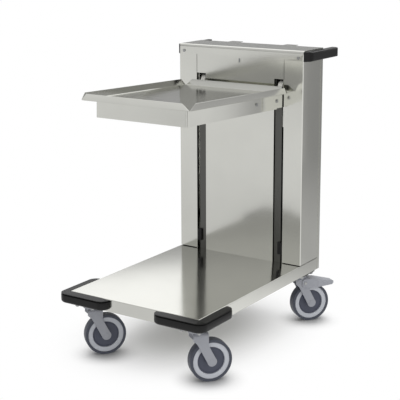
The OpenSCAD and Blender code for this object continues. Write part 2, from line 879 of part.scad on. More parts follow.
module tyre(i) {
    color(tyre_blue) on_caster(i) translate([0, trail, wheel_r]) rotate([0, 90, 0])
        rotate_extrude($fn = 96) intersection() {
            union() {
                translate([rim_r, -tyre_w/2 + tread_r]) square([tread_r, tyre_w - 2*tread_r]);
                for (x = [-1, 1]) translate([rim_r, x*(tyre_w/2 - tread_r)]) circle(tread_r);
            }
            translate([rim_r, -tyre_w]) square(2*tyre_w);
        }
}

// Brake pedals

module pedal_plan(inset) {
    tip = pedal_reach - pedal_tip_r;
    root = pedal_out - inset;
    end = pedal_tip_r - inset;
    polygon([[-root, pedal_back + inset], [root, pedal_back + inset], [root, pedal_taper_y], [end, tip],
        [-end, tip], [-root, pedal_taper_y]]);
    translate([0, tip]) circle(end);
}

module pedal_side_view() {
    polygon([[pivot_y - pedal_lug, pivot_z - 6], [pivot_y - pedal_lug, pivot_z + 6],
        [pivot_y - pedal_lug/2, pedal_top - 1], [pedal_root, pedal_top],
        [knee_y, pedal_tip_z], [pedal_reach, pedal_tip_z - tip_drop],
        [pedal_reach, pedal_low + tip_rise], [knee_y, pedal_low],
        [pivot_y + 14, pedal_low], [pivot_y - pedal_lug/2, pedal_low + 4]]);
}

module pedal(i) {
    color(fork_grey) on_caster(i) difference() {
        intersection() {
            linear_extrude(pedal_run) pedal_plan(0);
            along_x(pedal_back, -pedal_back) pedal_side_view();
        }
        intersection() {
            linear_extrude(pedal_run) pedal_plan(pedal_side);
            along_x(pedal_back, -pedal_back) polygon([[-pedal_reach, 0], [-pedal_reach, pedal_run],
                [pedal_root, pedal_run], [pedal_root, pedal_top - pedal_t],
                [knee_y, pedal_tip_z - pedal_t], [pedal_reach - pedal_t, pedal_tip_z - tip_drop - pedal_t],
                [pedal_reach - pedal_t, 0]]);
        }
        translate([-60, pivot_y, pivot_z]) rod(pedal_pin_r + running, 120);
    }
}

module brake_shoe(i) {
    color(black_plastic) on_caster(i) along_x(-shoe_half, shoe_half)
        polygon([[shoe_y0, shoe_low], [shoe_y1, shoe_low], [shoe_y1, under_pedal(shoe_y1)],
            [shoe_y0, under_pedal(shoe_y0)]]);
}

module pedal_pin(i) {
    color(steel) on_caster(i) translate([0, pivot_y, pivot_z]) {
        translate([-pedal_out - 0.3, 0, 0]) rod(pedal_pin_r, 2*pedal_out + 0.6);
        translate([pedal_out + 0.3, 0, 0]) rod(pedal_pin_r + 2, 1.7);
        translate([-pedal_out - 2, 0, 0]) rod(pedal_pin_r + 2, 1.7);
    }
}

// The whole part

place() deck_panel();
place() crossmember(caster_y[0]);  // front_crossmember
place() crossmember(caster_y[1]);  // rear_crossmember
place() front_panel();
on_side(-1) side_panel();  // side_panel_left
on_side(1) side_panel();  // side_panel_right
place() rear_cover();
on_side(-1) guide_rail();  // guide_rail_left
on_side(1) guide_rail();  // guide_rail_right
place() spring_anchor_bar();
place() rubber_stops();
on_side(-1) push_handle();  // push_handle_left
on_side(1) push_handle();  // push_handle_right
on_side(-1) bumper();  // bumper_left
on_side(1) bumper();  // bumper_right
place() front_lock();
place() casing_screws();
place() caster_plates();
place() caster_bolts();
place() kingpins();
place() platform_tray();
place() platform_skirt();
on_side(-1) lift_arm();  // lift_arm_left
on_side(1) lift_arm();  // lift_arm_right
place() carriage_beam();
place() spring_pull_bar();
place() arm_screws();
place() roller_pins();
on_side(-1) lift_springs();  // lift_springs_left
on_side(1) lift_springs();  // lift_springs_right
on_side(-1) roller(roller_hi);  // roller_upper_left
on_side(1) roller(roller_hi);  // roller_upper_right
on_side(-1) roller(roller_lo);  // roller_lower_left
on_side(1) roller(roller_lo);  // roller_lower_right
fork(0, false);  // fork_fl
fork(1, false);  // fork_fr
fork(2, true);  // fork_rl
fork(3, true);  // fork_rr
axle(0);  // axle_fl
axle(1);  // axle_fr
axle(2);  // axle_rl
axle(3);  // axle_rr
hub(0);  // hub_fl
hub(1);  // hub_fr
hub(2);  // hub_rl
hub(3);  // hub_rr
rim_ring(0);  // rim_fl
rim_ring(1);  // rim_fr
rim_ring(2);  // rim_rl
rim_ring(3);  // rim_rr
tyre(0);  // tyre_fl
tyre(1);  // tyre_fr
tyre(2);  // tyre_rl
tyre(3);  // tyre_rr
pedal(2);  // pedal_rl
pedal(3);  // pedal_rr
brake_shoe(2);  // brake_shoe_rl
brake_shoe(3);  // brake_shoe_rr
pedal_pin(2);  // pedal_pin_rl
pedal_pin(3);  // pedal_pin_rr
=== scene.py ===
"""Mobile tray dispenser: the looks of an open stainless trolley with a sprung platform.

Pieces are drawn in millimetres in a space of their own (the deck, the platform, one
caster) and then put into the frame's metres, so a finished object sits at the origin.
"""

import json
import math

import bmesh
import bpy
from bpy.props import FloatProperty, FloatVectorProperty, IntProperty, PointerProperty
from mathutils import Matrix, Vector

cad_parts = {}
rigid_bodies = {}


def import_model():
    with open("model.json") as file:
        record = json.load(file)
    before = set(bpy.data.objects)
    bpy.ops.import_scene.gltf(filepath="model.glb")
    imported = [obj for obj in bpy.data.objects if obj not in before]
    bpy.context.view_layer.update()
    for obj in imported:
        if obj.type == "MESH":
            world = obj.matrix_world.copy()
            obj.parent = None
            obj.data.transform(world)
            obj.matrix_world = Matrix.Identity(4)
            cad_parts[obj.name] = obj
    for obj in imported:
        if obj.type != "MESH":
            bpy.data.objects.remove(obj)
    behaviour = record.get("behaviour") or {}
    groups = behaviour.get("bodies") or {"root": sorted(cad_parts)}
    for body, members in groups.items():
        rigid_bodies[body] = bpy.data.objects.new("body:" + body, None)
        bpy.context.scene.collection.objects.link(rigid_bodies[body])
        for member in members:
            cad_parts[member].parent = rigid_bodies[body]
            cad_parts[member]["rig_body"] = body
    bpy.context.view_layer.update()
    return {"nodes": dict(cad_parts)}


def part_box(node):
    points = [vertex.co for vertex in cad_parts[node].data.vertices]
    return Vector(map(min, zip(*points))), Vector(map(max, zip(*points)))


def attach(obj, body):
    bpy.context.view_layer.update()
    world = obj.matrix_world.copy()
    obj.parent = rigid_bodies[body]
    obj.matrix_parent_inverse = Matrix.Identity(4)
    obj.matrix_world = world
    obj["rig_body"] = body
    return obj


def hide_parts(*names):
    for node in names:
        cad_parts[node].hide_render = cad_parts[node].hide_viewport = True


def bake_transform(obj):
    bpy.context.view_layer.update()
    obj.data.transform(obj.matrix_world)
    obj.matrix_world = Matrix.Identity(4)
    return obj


bl_info = {
    "name": "Mobile tray dispenser",
    "version": (1, 0, 0),
    "blender": (4, 5, 0),
    "location": "View3D > Sidebar > Tray dispenser",
    "description": "Dresses the packed solids of a mobile tray dispenser",
    "category": "Object",
}

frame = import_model()

# The deck's space: millimetres, X to the right and Y to the tower, with its origin on
# the floor below the middle line and this far behind the deck's front edge
FRONT_TO_ORIGIN = 355.0
deck_low, deck_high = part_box("deck_panel")
DECK = Matrix.Translation(
    ((deck_low.x + deck_high.x) / 2, deck_low.y + FRONT_TO_ORIGIN / 1000, 0)
) @ Matrix.Scale(0.001, 4)
MIRROR = Matrix.Scale(-1, 4, (1, 0, 0))
SIDES = {"left": DECK @ MIRROR, "right": DECK}

# The platform's space: its origin is the middle of the tray floor's rear edge, and it
# leans back to the tower
PLATFORM_PLACE = (0, 197, 763.5)
PLATFORM_LEAN = -2.0
PLATFORM = (
    DECK
    @ Matrix.Translation(PLATFORM_PLACE)
    @ Matrix.Rotation(math.radians(PLATFORM_LEAN), 4, "X")
)

# Each caster's space: its origin is on the floor below the kingpin, and Y runs to the
# wheel. All four stand turned alike, as in the photograph.
CASTER_PLACES = {
    "fl": (-189.5, -306.5),
    "fr": (189.5, -306.5),
    "rl": (-189.5, 291),
    "rr": (189.5, 291),
}
CASTER_TURN = -38.5
CASTERS = {
    key: DECK
    @ Matrix.Translation((x, y, 0))
    @ Matrix.Rotation(math.radians(CASTER_TURN), 4, "Z")
    for key, (x, y) in CASTER_PLACES.items()
}
TRAIL = 38.6
WHEEL_RADIUS = 62.5

# Widths of broken edges, in millimetres
FINE_EDGE = 0.25  # the deck's sheet and the lock
FASTENER_EDGE = 0.4  # small screws, bolts, pins and wheel parts
STEEL_EDGE = 0.5  # the arms and their screws, cross members and plates
CASTER_EDGE = 0.8  # forks, axles and brakes
STOP_EDGE = 1.0  # rubber stops

# The photograph's camera: its place in the deck's space, its yaw, pitch and roll in
# degrees, its lens on a 36 mm sensor, and the shift that frames the picture
CAMERA_PLACE = (1819.63, -2738.39, 1260.20)
CAMERA_ANGLES = (33.440, -12.052, -0.165)
CAMERA_LENS = 98.835
CAMERA_SHIFT = (-0.0086, -0.0923)


def linear(code):
    """Turns an sRGB hex colour into Blender's linear red, green and blue."""
    parts = [int(code[i : i + 2], 16) / 255 for i in (1, 3, 5)]
    return tuple(
        c / 12.92 if c <= 0.04045 else ((c + 0.055) / 1.055) ** 2.4 for c in parts
    )


# ---------------------------------------------------------------- settings


class TrolleySizes(bpy.types.PropertyGroup):
    """Sizes of details that the solids leave plain, in millimetres but for the coils"""

    edge: FloatProperty(
        name="Broken edge",
        description="Width of the small bevel on folded sheet and rails",
        default=0.3,
        min=0.1,
        max=1.0,
    )
    moulded_edge: FloatProperty(
        name="Moulded edge",
        description="Rounding of the handles' and bumpers' edges",
        default=1.2,
        min=0.3,
        max=3.0,
    )
    sheet: FloatProperty(
        name="Sheet thickness",
        description="Thickness of the stainless sheet of the platform",
        default=1.5,
        min=0.8,
        max=2.0,
    )
    fold: FloatProperty(
        name="Fold radius",
        description="Inside radius of the folds of the platform",
        default=1.6,
        min=0.5,
        max=3.0,
    )
    rim_height: FloatProperty(
        name="Rim height",
        description="Height of the platform's rims above its floor",
        default=19.0,
        min=12.0,
        max=19.0,
    )
    rim_lean: FloatProperty(
        name="Rim lean",
        description="How far the rims lean out",
        default=4.0,
        min=1.0,
        max=4.0,
    )
    rim_cut: FloatProperty(
        name="Rim cut",
        description="Length cut from each end of a rim's top edge",
        default=20.0,
        min=8.0,
        max=30.0,
    )
    spring_wire: FloatProperty(
        name="Spring wire",
        description="Diameter of the wire of the lift springs",
        default=2.0,
        min=1.5,
        max=2.6,
    )
    spring_coils: IntProperty(
        name="Spring coils",
        description="Number of coils of each lift spring",
        default=72,
        min=40,
        max=80,
    )
    seam: FloatProperty(
        name="Skirt seam",
        description="Width of the open seam at each front corner of the skirt",
        default=1.8,
        min=0.4,
        max=2.5,
    )


def colour(label, about, code):
    """A colour setting with its default written as sRGB hex."""
    return FloatVectorProperty(
        name=label,
        description=about,
        default=linear(code),
        subtype="COLOR",
        size=3,
        min=0,
        max=1,
    )


class TrolleyColours(bpy.types.PropertyGroup):
    """Colours of the finishes"""

    stainless: colour("Stainless", "Rolled stainless sheet", "#dcdcd6")
    zinc: colour("Zinc plate", "Dull zinc plate on inner steel", "#6b6b68")
    bright_zinc: colour("Bright zinc", "Bright zinc plate on fasteners", "#adaeae")
    spring_steel: colour("Spring steel", "Oiled spring wire", "#77777a")
    black_plastic: colour("Black plastic", "Moulded bumpers and handles", "#1a1a1a")
    rubber: colour("Rubber", "Stops and brake shoes", "#191919")
    white_plastic: colour("White plastic", "Guide rollers", "#ecebe4")
    caster_grey: colour("Caster grey", "Forks and brake pedals", "#9fa1a8")
    wheel_blue: colour("Wheel centre", "Moulded wheel centres", "#484c5c")
    rim_grey: colour("Rim grey", "Light ring of the wheels", "#c4c7ce")
    tyre_blue: colour("Tyre", "Non-marking tyres", "#434753")


# ---------------------------------------------------------------- finishes


def add(tree, kind, settings=None, links=None):
    """Adds a node, sets its sockets or properties, and links outputs to it."""
    node = tree.nodes.new(kind)
    for key, value in (settings or {}).items():
        if isinstance(key, int) or key in node.inputs:
            node.inputs[key].default_value = value
        else:
            setattr(node, key, value)
    for key, output in (links or {}).items():
        tree.links.new(output, node.inputs[key])
    return node


def new_material(name):
    """An empty material, its tree and its output node."""
    material = bpy.data.materials.new(name)
    material.use_nodes = True
    material.node_tree.nodes.clear()
    output = add(material.node_tree, "ShaderNodeOutputMaterial")
    return material, material.node_tree, output


def rolled_stainless(shade):
    """Cold rolled stainless sheet.

    1.4301 stainless, cold rolled and lightly ground: reflections stay readable but
    soft, over faint stains and a slow waviness. The rolling lines, really 0.05 mm
    apart, are drawn coarser so that they show.
    """
    line_width, line_length = 0.4, 40.0
    stain_size, wave_length = 111.1, 454.5
    material, tree, output = new_material("rolled_stainless")
    place = add(tree, "ShaderNodeTexCoord").outputs["Object"]
    across, along = 1000 / line_width, 1000 / line_length
    drawn = add(
        tree, "ShaderNodeMapping", {"Scale": (across, across, along)}, {0: place}
    )
    lines = add(
        tree,
        "ShaderNodeTexNoise",
        {"Scale": 1.0, "Detail": 3.0},
        {0: drawn.outputs[0]},
    )
    stains = add(
        tree,
        "ShaderNodeTexNoise",
        {"Scale": 1000 / stain_size, "Detail": 2.0},
        {0: place},
    )
    waves = add(
        tree,
        "ShaderNodeTexNoise",
        {"Scale": 1000 / wave_length, "Detail": 0.0},
        {0: place},
    )
    dull = add(
        tree,
        "ShaderNodeMapRange",
        {"From Min": 0.3, "From Max": 0.7, "To Min": 0.11, "To Max": 0.17},
        {"Value": lines.outputs[0]},
    )
    stained = add(
        tree,
        "ShaderNodeMapRange",
        {"From Min": 0.3, "From Max": 0.7, "To Min": 0.0, "To Max": 0.5},
        {"Value": stains.outputs[0]},
    )
    darker = [c * 0.93 for c in shade]
    tone = add(
        tree,
        "ShaderNodeMix",
        {"data_type": "RGBA", 6: (*shade, 1), 7: (*darker, 1)},
        {0: stained.outputs[0]},
    )
    wavy = add(
        tree,
        "ShaderNodeBump",
        {"Strength": 0.08, "Distance": 0.002},
        {"Height": waves.outputs[0]},
    )
    scratched = add(
        tree,
        "ShaderNodeBump",
        {"Strength": 0.05, "Distance": 0.0001},
        {"Height": lines.outputs[0], "Normal": wavy.outputs[0]},
    )
    shader = add(
        tree,
        "ShaderNodeBsdfPrincipled",
        {"Metallic": 1.0},
        {
            "Base Color": tone.outputs[2],
            "Roughness": dull.outputs[0],
            "Normal": scratched.outputs[0],
        },
    )
    tree.links.new(shader.outputs[0], output.inputs[0])
    return material


def clouded_metal(name, shade, clouds, detail, darkest, smooth, rough):
    """A plated or drawn metal.

    clouds is the size of its clouds in mm, darkest the share of its colour that is left
    in them, and smooth and rough the ends of its roughness.
    """
    material, tree, output = new_material(name)
    place = add(tree, "ShaderNodeTexCoord").outputs["Object"]
    cloud = add(
        tree,
        "ShaderNodeTexNoise",
        {"Scale": 1000 / clouds, "Detail": detail},
        {0: place},
    )
    darker = [c * darkest for c in shade]
    tone = add(
        tree,
        "ShaderNodeMix",
        {"data_type": "RGBA", 6: (*darker, 1), 7: (*shade, 1)},
        {0: cloud.outputs[0]},
    )
    dull = add(
        tree,
        "ShaderNodeMapRange",
        {"From Min": 0.3, "From Max": 0.7, "To Min": smooth, "To Max": rough},
        {"Value": cloud.outputs[0]},
    )
    shader = add(
        tree,
        "ShaderNodeBsdfPrincipled",
        {"Metallic": 1.0},
        {"Base Color": tone.outputs[2], "Roughness": dull.outputs[0]},
    )
    tree.links.new(shader.outputs[0], output.inputs[0])
    return material


def moulded(name, shade, rough, grain, depth, darkest=0.9, shine=0.5):
    """A plastic, rubber or paint.

    grain and depth are the size and depth of its grain in mm, darkest the share of its
    colour that is left in its broad clouds, rough its middle roughness, and shine its
    specular level.
    """
    cloud_size, play = 22.22, 0.05
    material, tree, output = new_material(name)
    place = add(tree, "ShaderNodeTexCoord").outputs["Object"]
    fine = add(
        tree, "ShaderNodeTexNoise", {"Scale": 1000 / grain, "Detail": 2.0}, {0: place}
    )
    broad = add(
        tree,
        "ShaderNodeTexNoise",
        {"Scale": 1000 / cloud_size, "Detail": 2.0},
        {0: place},
    )
    darker = [c * darkest for c in shade]
    tone = add(
        tree,
        "ShaderNodeMix",
        {"data_type": "RGBA", 6: (*darker, 1), 7: (*shade, 1)},
        {0: broad.outputs[0]},
    )
    dull = add(
        tree,
        "ShaderNodeMapRange",
        {
            "From Min": 0.3,
            "From Max": 0.7,
            "To Min": rough - play,
            "To Max": rough + play,
        },
        {"Value": fine.outputs[0]},
    )
    relief = add(
        tree,
        "ShaderNodeBump",
        {"Strength": 0.25, "Distance": depth / 1000},
        {"Height": fine.outputs[0]},
    )
    shader = add(
        tree,
        "ShaderNodeBsdfPrincipled",
        {"Metallic": 0.0, "Specular IOR Level": shine},
        {
            "Base Color": tone.outputs[2],
            "Roughness": dull.outputs[0],
            "Normal": relief.outputs[0],
        },
    )
    tree.links.new(shader.outputs[0], output.inputs[0])
    return material


def all_finishes():
    """Makes every finish once and returns them by the name of the record's slot."""
    shades = bpy.context.scene.trolley_colours
    return {
        "stainless": rolled_stainless(shades.stainless),
        # Electroplated zinc on mild steel: a cool grey, faint clouds and a satin gloss.
        "zinc": clouded_metal(
            "zinc_plate", shades.zinc,
            clouds=8.333, detail=4.0, darkest=0.8, smooth=0.28, rough=0.42,
        ),
        # Bright zinc-plated fasteners: tumbled smooth, so small and even sparkle only.
        "bright_zinc": clouded_metal(
            "bright_zinc", shades.bright_zinc,
            clouds=1.4286, detail=2.0, darkest=0.88, smooth=0.2, rough=0.3,
        ),
        # Cold-drawn spring wire: dark grey under a blotchy film of oil.
        "spring_steel": clouded_metal(
            "spring_steel", shades.spring_steel,
            clouds=4.0, detail=3.0, darkest=0.7, smooth=0.22, rough=0.36,
        ),
        # Polypropylene with a fine spark-eroded grain: satin, with a broad soft sheen.
        "black_plastic": moulded(
            "grained_polypropylene", shades.black_plastic,
            rough=0.36, grain=0.7, depth=0.05, shine=0.25,
        ),
        # Natural rubber, moulded: dull and powdery. It also fills the open seams as
        # painted shade.
        "rubber": moulded(
            "moulded_rubber", shades.rubber,
            rough=0.7, grain=0.9, depth=0.06, darkest=0.8,
        ),
        # Turned polyamide rollers: smooth, with a waxy gloss.
        "white_plastic": moulded(
            "turned_polyamide", shades.white_plastic,
            rough=0.38, grain=1.5, depth=0.02, darkest=0.95,
        ),
        # Powder-coated pressed steel: even grey with a very fine orange peel.
        "caster_grey": moulded(
            "powder_coated_steel", shades.caster_grey,
            rough=0.38, grain=1.1, depth=0.04, darkest=0.95,
        ),
        # Moulded polyamide wheel centres: dark blue-grey and satin.
        "wheel_blue": moulded(
            "moulded_polyamide", shades.wheel_blue,
            rough=0.42, grain=0.8, depth=0.04, darkest=0.92,
        ),
        # Moulded polypropylene ring: light grey, satin and even.
        "rim_grey": moulded(
            "moulded_polypropylene", shades.rim_grey,
            rough=0.42, grain=0.9, depth=0.03, darkest=0.95,
        ),
        # Thermoplastic rubber tread: matt with a slight sheen.
        "tyre_blue": moulded(
            "thermoplastic_rubber", shades.tyre_blue,
            rough=0.5, grain=0.8, depth=0.05,
        ),
    }  # fmt: skip


FINISHES = {}


# ---------------------------------------------------------------- shaping


def copy_of(node):
    """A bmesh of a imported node, its loose triangles joined and its flat faces whole."""
    joined_within, flat_within = 2e-6, math.radians(0.5)
    bm = bmesh.new()
    bm.from_mesh(frame["nodes"][node].data)
    bmesh.ops.remove_doubles(bm, verts=bm.verts[:], dist=joined_within)
    bmesh.ops.dissolve_limit(
        bm,
        angle_limit=flat_within,
        verts=bm.verts[:],
        edges=bm.edges[:],
        use_dissolve_boundaries=False,
    )
    return bm


def new_object(name, bm, space=None):
    """An object of a bmesh, which is brought into the frame from its own space."""
    if space is not None:
        bmesh.ops.transform(bm, matrix=space, verts=bm.verts[:])
        if space.determinant() < 0:
            bmesh.ops.reverse_faces(bm, faces=bm.faces[:])
    mesh = bpy.data.meshes.new(name)
    bm.to_mesh(mesh)
    bm.free()
    obj = bpy.data.objects.new(name, mesh)
    bpy.context.scene.collection.objects.link(obj)
    return obj


def finish_piece(
    name, bm, body, nodes, slot, edge=0.0, sheet=0.0, turn=35.0, space=None
):
    """Makes a piece of a bmesh, hangs it on its body and lets it stand for its nodes.

    edge is the bevel of sharp edges and sheet a wall to give it, both in millimetres,
    and turn is the angle in degrees past which an edge counts as sharp.
    """
    obj = new_object(name, bm, space)
    mesh = obj.data
    mesh.materials.append(FINISHES[slot])
    mesh.shade_smooth()
    mesh.set_sharp_from_angle(angle=math.radians(turn))
    if sheet:
        wall = obj.modifiers.new("wall", "SOLIDIFY")
        wall.thickness = sheet / 1000
        wall.offset = -1
        wall.use_even_offset = True
    if edge:
        bevel = obj.modifiers.new("broken_edges", "BEVEL")
        bevel.width = edge / 1000
        bevel.segments = 2
        bevel.limit_method = "ANGLE"
        bevel.angle_limit = math.radians(turn)
        bevel.harden_normals = True
        bevel.use_clamp_overlap = True
    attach(obj, body)
    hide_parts(*nodes)
    return obj


def refine(node, slot, edge=None):
    """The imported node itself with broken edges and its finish."""
    if edge is None:
        edge = bpy.context.scene.trolley_sizes.edge
    body = frame["nodes"][node]["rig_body"]
    finish_piece(node + "_dressed", copy_of(node), body, [node], slot, edge)


def block(bm, low, high):
    """Adds a box between two corners."""
    low, high = Vector(low), Vector(high)
    place = Matrix.Translation((low + high) / 2) @ Matrix.Diagonal((*(high - low), 1))
    bmesh.ops.create_cube(bm, size=1, matrix=place)


def turned(bm, profile, steps=72):
    """Spins a closed profile of (distance along X, radius) points about the X axis."""
    verts = [bm.verts.new((x, 0, r)) for x, r in profile]
    edges = [bm.edges.new(pair) for pair in zip(verts, verts[1:])]
    edges.append(bm.edges.new((verts[-1], verts[0])))
    bmesh.ops.spin(
        bm,
        geom=verts + edges,
        cent=(0, 0, 0),
        axis=(1, 0, 0),
        dvec=(0, 0, 0),
        angle=math.tau,
        steps=steps,
        use_merge=True,
        use_duplicate=False,
    )
    bmesh.ops.remove_doubles(bm, verts=bm.verts[:], dist=0.001)
    bmesh.ops.recalc_face_normals(bm, faces=bm.faces[:])


def round_rings(bm, rings, width, segments=4):
    """Rounds the turned edges at the given (distance along X, radius) points."""
    near, flat = 0.05, 0.01
    chosen = []
    for e in bm.edges:
        a, b = (v.co for v in e.verts)
        if abs(a.x - b.x) >= flat:
            continue
        r = math.hypot(a.y, a.z)
        if any(abs(a.x - x) < near and abs(r - q) < near for x, q in rings):
            chosen.append(e)
    bmesh.ops.bevel(
        bm,
        geom=chosen,
        offset=width,
        offset_type="OFFSET",
        affect="EDGES",
        segments=segments,
        profile=0.5,
        material=-1,
        clamp_overlap=True,
    )


# ---------------------------------------------------------------- pieces


class TROLLEY_OT_deck(bpy.types.Operator):
    """Dresses the deck, its cross members and the caster mountings"""

    bl_idname = "trolley.deck"
    bl_label = "Deck and underframe"

    def execute(self, context):
        refine("deck_panel", "stainless", FINE_EDGE)
        for node in ("front_crossmember", "rear_crossmember", "caster_plates"):
            refine(node, "zinc", STEEL_EDGE)
        for node in ("caster_bolts", "kingpins"):
            refine(node, "bright_zinc", FASTENER_EDGE)
        return {"FINISHED"}


class TROLLEY_OT_tower(bpy.types.Operator):
    """Dresses the tower's casing, its fasteners and its lock"""

    bl_idname = "trolley.tower"
    bl_label = "Tower"

    def execute(self, context):
        panels = ("front_panel", "side_panel_left", "side_panel_right", "rear_cover")
        for node in panels:
            refine(node, "stainless")
        refine("front_lock", "bright_zinc", FINE_EDGE)
        refine("casing_screws", "bright_zinc", FASTENER_EDGE)
        return {"FINISHED"}


class TROLLEY_OT_guides(bpy.types.Operator):
    """Dresses the guide rails, the anchor bar and the rubber stops"""

    bl_idname = "trolley.guides"
    bl_label = "Guides inside the tower"

    def execute(self, context):
        for node in ("guide_rail_left", "guide_rail_right", "spring_anchor_bar"):
            refine(node, "zinc")
        refine("rubber_stops", "rubber", STOP_EDGE)
        return {"FINISHED"}


class TROLLEY_OT_platform(bpy.types.Operator):
    """Folds the platform's tray from sheet, and dresses its skirt and screws"""

    bl_idname = "trolley.platform"
    bl_label = "Platform"

    def execute(self, context):
        self.tray(context.scene.trolley_sizes)
        self.skirt(context.scene.trolley_sizes)
        refine("arm_screws", "bright_zinc", STEEL_EDGE)
        return {"FINISHED"}

    def skirt(self, sizes):
        """The skirt, with an open seam where each side meets the front."""
        # Its outer faces are 157 mm from the middle, and the seams are cut in them.
        side, seam_front, seam_depth = 156.9, -497.8, 1.2
        seam_back = seam_front + sizes.seam
        bm = copy_of("platform_skirt")
        origin, back = PLATFORM.inverted(), PLATFORM.to_3x3() @ Vector((0, 1, 0))
        for y in (seam_front, seam_back):
            bmesh.ops.bisect_plane(
                bm,
                geom=bm.verts[:] + bm.edges[:] + bm.faces[:],
                dist=1e-7,
                plane_co=PLATFORM @ Vector((0, y, 0)),
                plane_no=back,
            )
        strips = []
        for face in bm.faces:
            middle = origin @ face.calc_center_median()
            outside = abs(middle.x) > side and abs(face.normal.x) > 0.99
            if outside and seam_front < middle.y < seam_back:
                strips.append(face)
        if len(strips) < 2:
            raise RuntimeError("the skirt's seams were not found")
        bmesh.ops.inset_region(
            bm, faces=strips, thickness=0.0, depth=-seam_depth / 1000
        )
        skirt = finish_piece(
            "platform_skirt_dressed", bm, "carriage", ["platform_skirt"], "stainless",
            edge=0.2,
        )  # fmt: skip
        # Screw holes cut the wide faces, where hardened normals and smooth shading
        # would bend reflections, so faces from this area, in square metres, are flat.
        wide = 0.0002
        skirt.modifiers["broken_edges"].harden_normals = False
        for polygon in skirt.data.polygons:
            polygon.use_smooth = polygon.area < wide
        # A dark strip lies in each seam, with a little play: painted shade for the open
        # seam.
        play, low, high = 0.05, -50.6, -2.4
        bm = bmesh.new()
        for inner, outer in ((155.9, 156.8), (-156.8, -155.9)):
            block(bm, (inner, seam_front + play, low), (outer, seam_back - play, high))
        finish_piece(
            "skirt_seam_shade", bm, "carriage", [], "rubber", edge=0.1, space=PLATFORM
        )

    def tray(self, sizes):
        """A flat floor whose four edges are folded up and cut at a slant."""
        half_w, length, relief = 187.0, 530.0, 1.0
        lean = math.atan2(sizes.rim_lean, sizes.rim_height)
        turn = math.pi / 2 - lean
        back = sizes.fold * math.tan(turn / 2)
        bm = bmesh.new()
        w, y0, y1, c = half_w - back, -length + back, -back, relief
        corners = [
            (-w, y0 + c), (-w + c, y0), (w - c, y0), (w, y0 + c),
            (w, y1 - c), (w - c, y1), (-w + c, y1), (-w, y1 - c),
        ]  # fmt: skip
        floor = bm.faces.new([bm.verts.new((x, y, 0)) for x, y in corners])
        sides = [e for e in floor.edges if e.calc_length() > 10 * relief]
        middle = Vector((0, -length / 2, 0))
        for side in sides:
            a, b = (v.co.copy() for v in side.verts)
            out = ((a + b) / 2 - middle).normalized()
            run = out.cross(Vector((0, 0, 1)))
            bent = bmesh.ops.spin(
                bm,
                geom=[side],
                cent=(a + b) / 2 + Vector((0, 0, sizes.fold)),
                axis=run,
                dvec=(0, 0, 0),
                angle=turn,
                steps=5,
                use_merge=False,
                use_duplicate=False,
            )["geom_last"]
            last = [g for g in bent if isinstance(g, bmesh.types.BMEdge)]
            if last[0].verts[0].co.z < 0:
                raise RuntimeError("the rim folds down")
            top = bmesh.ops.extrude_edge_only(bm, edges=last)["geom"]
            rising = [g for g in top if isinstance(g, bmesh.types.BMVert)]
            reach = sizes.rim_height - rising[0].co.z
            for v in rising:
                v.co += Vector((0, 0, reach)) + out * reach * math.tan(lean)
                along = (v.co - middle).dot(run)
                v.co -= run * math.copysign(sizes.rim_cut - back, along)
        bmesh.ops.recalc_face_normals(bm, faces=bm.faces[:])
        if floor.normal.z < 0:
            bmesh.ops.reverse_faces(bm, faces=bm.faces[:])
        finish_piece(
            "tray_sheet", bm, "carriage", ["platform_tray"], "stainless",
            edge=sizes.edge, sheet=sizes.sheet, turn=40.0, space=PLATFORM,
        )  # fmt: skip


